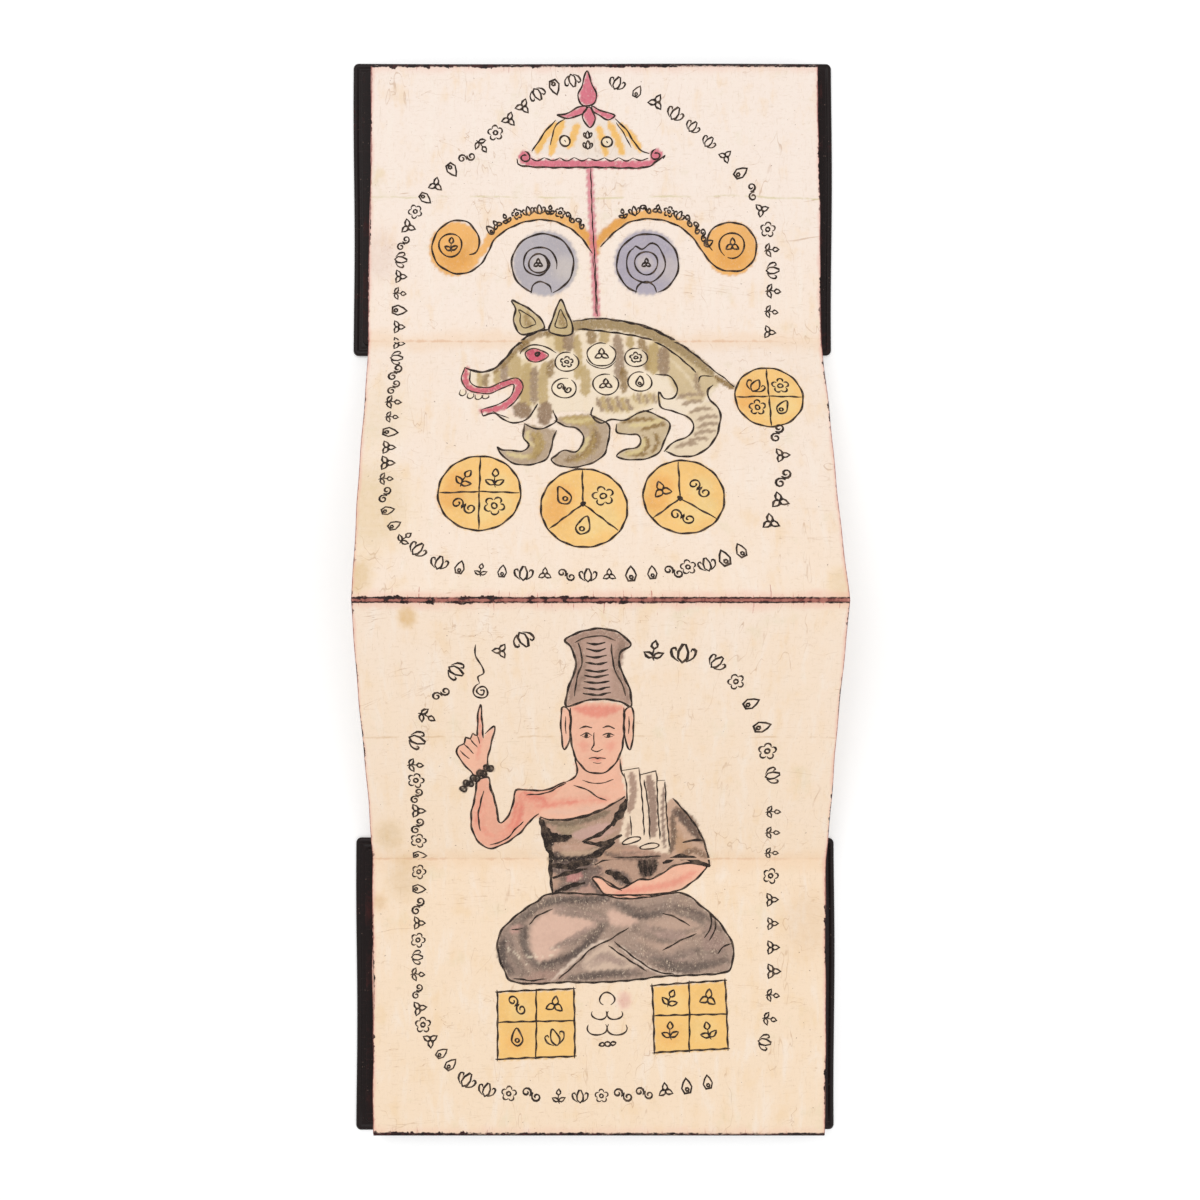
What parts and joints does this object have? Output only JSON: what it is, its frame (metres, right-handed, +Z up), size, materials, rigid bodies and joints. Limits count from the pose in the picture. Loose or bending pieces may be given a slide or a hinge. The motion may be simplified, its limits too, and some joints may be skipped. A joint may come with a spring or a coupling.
{
  "type": "folding manuscript",
  "caption": "Concertina-folded paper manuscript with lacquered covers, laid open with its middle leaves raised as a tent.",
  "frame": {"origin": "on the table, under the middle of the opened book's footprint", "axes": "+Z up, +X along the folds, +Y from the near stack to the far stack"},
  "size_m": [0.2172, 0.4812, 0.055],
  "materials": {
    "paper": "matte hand-made paper",
    "board": "black lacquer, worn",
    "lining": "brown-black lacquer, worn"
  },
  "bodies": {
    "near_cover": {"near_cover_board": "board", "near_cover_lining": "lining", "near_leaf_1": "paper"},
    "near_leaf_2": {"near_leaf_2": "paper"},
    "near_leaf_3": {"near_leaf_3": "paper"},
    "near_leaf_4": {"near_leaf_4": "paper"},
    "near_leaf_5": {"near_leaf_5": "paper"},
    "near_leaf_6": {"near_leaf_6": "paper"},
    "near_leaf_7": {"near_leaf_7": "paper"},
    "near_leaf_8": {"near_leaf_8": "paper"},
    "near_tent_leaf": {"near_tent_leaf": "paper"},
    "far_tent_leaf": {"far_tent_leaf": "paper"},
    "far_leaf_8": {"far_leaf_8": "paper"},
    "far_leaf_7": {"far_leaf_7": "paper"},
    "far_leaf_6": {"far_leaf_6": "paper"},
    "far_leaf_5": {"far_leaf_5": "paper"},
    "far_leaf_4": {"far_leaf_4": "paper"},
    "far_leaf_3": {"far_leaf_3": "paper"},
    "far_leaf_2": {"far_leaf_2": "paper"},
    "far_cover": {"far_leaf_1": "paper", "far_cover_lining": "lining", "far_cover_board": "board"}
  },
  "joints": [
    {"name": "near_fold_1", "type": "hinge", "parent": "near_leaf_2", "child": "near_cover", "pos_m": [0, -0.23775, 0.00465], "axis": [-1, 0, 0], "range_deg": [0, 105]},
    {"name": "near_fold_2", "type": "hinge", "parent": "near_leaf_3", "child": "near_leaf_2", "pos_m": [0, -0.11575, 0.00565], "axis": [1, 0, 0], "range_deg": [0, 76]},
    {"name": "near_fold_3", "type": "hinge", "parent": "near_leaf_4", "child": "near_leaf_3", "pos_m": [0, -0.23775, 0.00665], "axis": [-1, 0, 0], "range_deg": [0, 140]},
    {"name": "near_fold_4", "type": "hinge", "parent": "near_leaf_5", "child": "near_leaf_4", "pos_m": [0, -0.11575, 0.00765], "axis": [1, 0, 0], "range_deg": [0, 70]},
    {"name": "near_fold_5", "type": "hinge", "parent": "near_leaf_6", "child": "near_leaf_5", "pos_m": [0, -0.23775, 0.00865], "axis": [-1, 0, 0], "range_deg": [0, 145]},
    {"name": "near_fold_6", "type": "hinge", "parent": "near_leaf_7", "child": "near_leaf_6", "pos_m": [0, -0.11575, 0.00965], "axis": [1, 0, 0], "range_deg": [0, 66]},
    {"name": "near_fold_7", "type": "hinge", "parent": "near_leaf_8", "child": "near_leaf_7", "pos_m": [0, -0.23775, 0.01065], "axis": [-1, 0, 0], "range_deg": [0, 180]},
    {"name": "near_crease", "type": "hinge", "parent": "near_leaf_8", "child": "near_tent_leaf", "pos_m": [0, -0.11575, 0.01165], "axis": [-1, 0, 0], "range_deg": [-159, 21]},
    {"name": "ridge_fold", "type": "hinge", "parent": "near_tent_leaf", "child": "far_tent_leaf", "pos_m": [0, -0.0015, 0.05444], "axis": [1, 0, 0], "range_deg": [-120, 42]},
    {"name": "far_crease", "type": "hinge", "parent": "far_tent_leaf", "child": "far_leaf_8", "pos_m": [0, 0.11275, 0.01165], "axis": [-1, 0, 0], "range_deg": [-159, 21]},
    {"name": "far_fold_7", "type": "hinge", "parent": "far_leaf_8", "child": "far_leaf_7", "pos_m": [0, 0.23475, 0.01065], "axis": [1, 0, 0], "range_deg": [0, 180]},
    {"name": "far_fold_6", "type": "hinge", "parent": "far_leaf_7", "child": "far_leaf_6", "pos_m": [0, 0.11275, 0.00965], "axis": [-1, 0, 0], "range_deg": [0, 84]},
    {"name": "far_fold_5", "type": "hinge", "parent": "far_leaf_6", "child": "far_leaf_5", "pos_m": [0, 0.23475, 0.00865], "axis": [1, 0, 0], "range_deg": [0, 145]},
    {"name": "far_fold_4", "type": "hinge", "parent": "far_leaf_5", "child": "far_leaf_4", "pos_m": [0, 0.11275, 0.00765], "axis": [-1, 0, 0], "range_deg": [0, 90]},
    {"name": "far_fold_3", "type": "hinge", "parent": "far_leaf_4", "child": "far_leaf_3", "pos_m": [0, 0.23475, 0.00665], "axis": [1, 0, 0], "range_deg": [0, 140]},
    {"name": "far_fold_2", "type": "hinge", "parent": "far_leaf_3", "child": "far_leaf_2", "pos_m": [0, 0.11275, 0.00565], "axis": [-1, 0, 0], "range_deg": [0, 110]},
    {"name": "far_fold_1", "type": "hinge", "parent": "far_leaf_2", "child": "far_cover", "pos_m": [0, 0.23475, 0.00465], "axis": [1, 0, 0], "range_deg": [0, 105]}
  ]
}
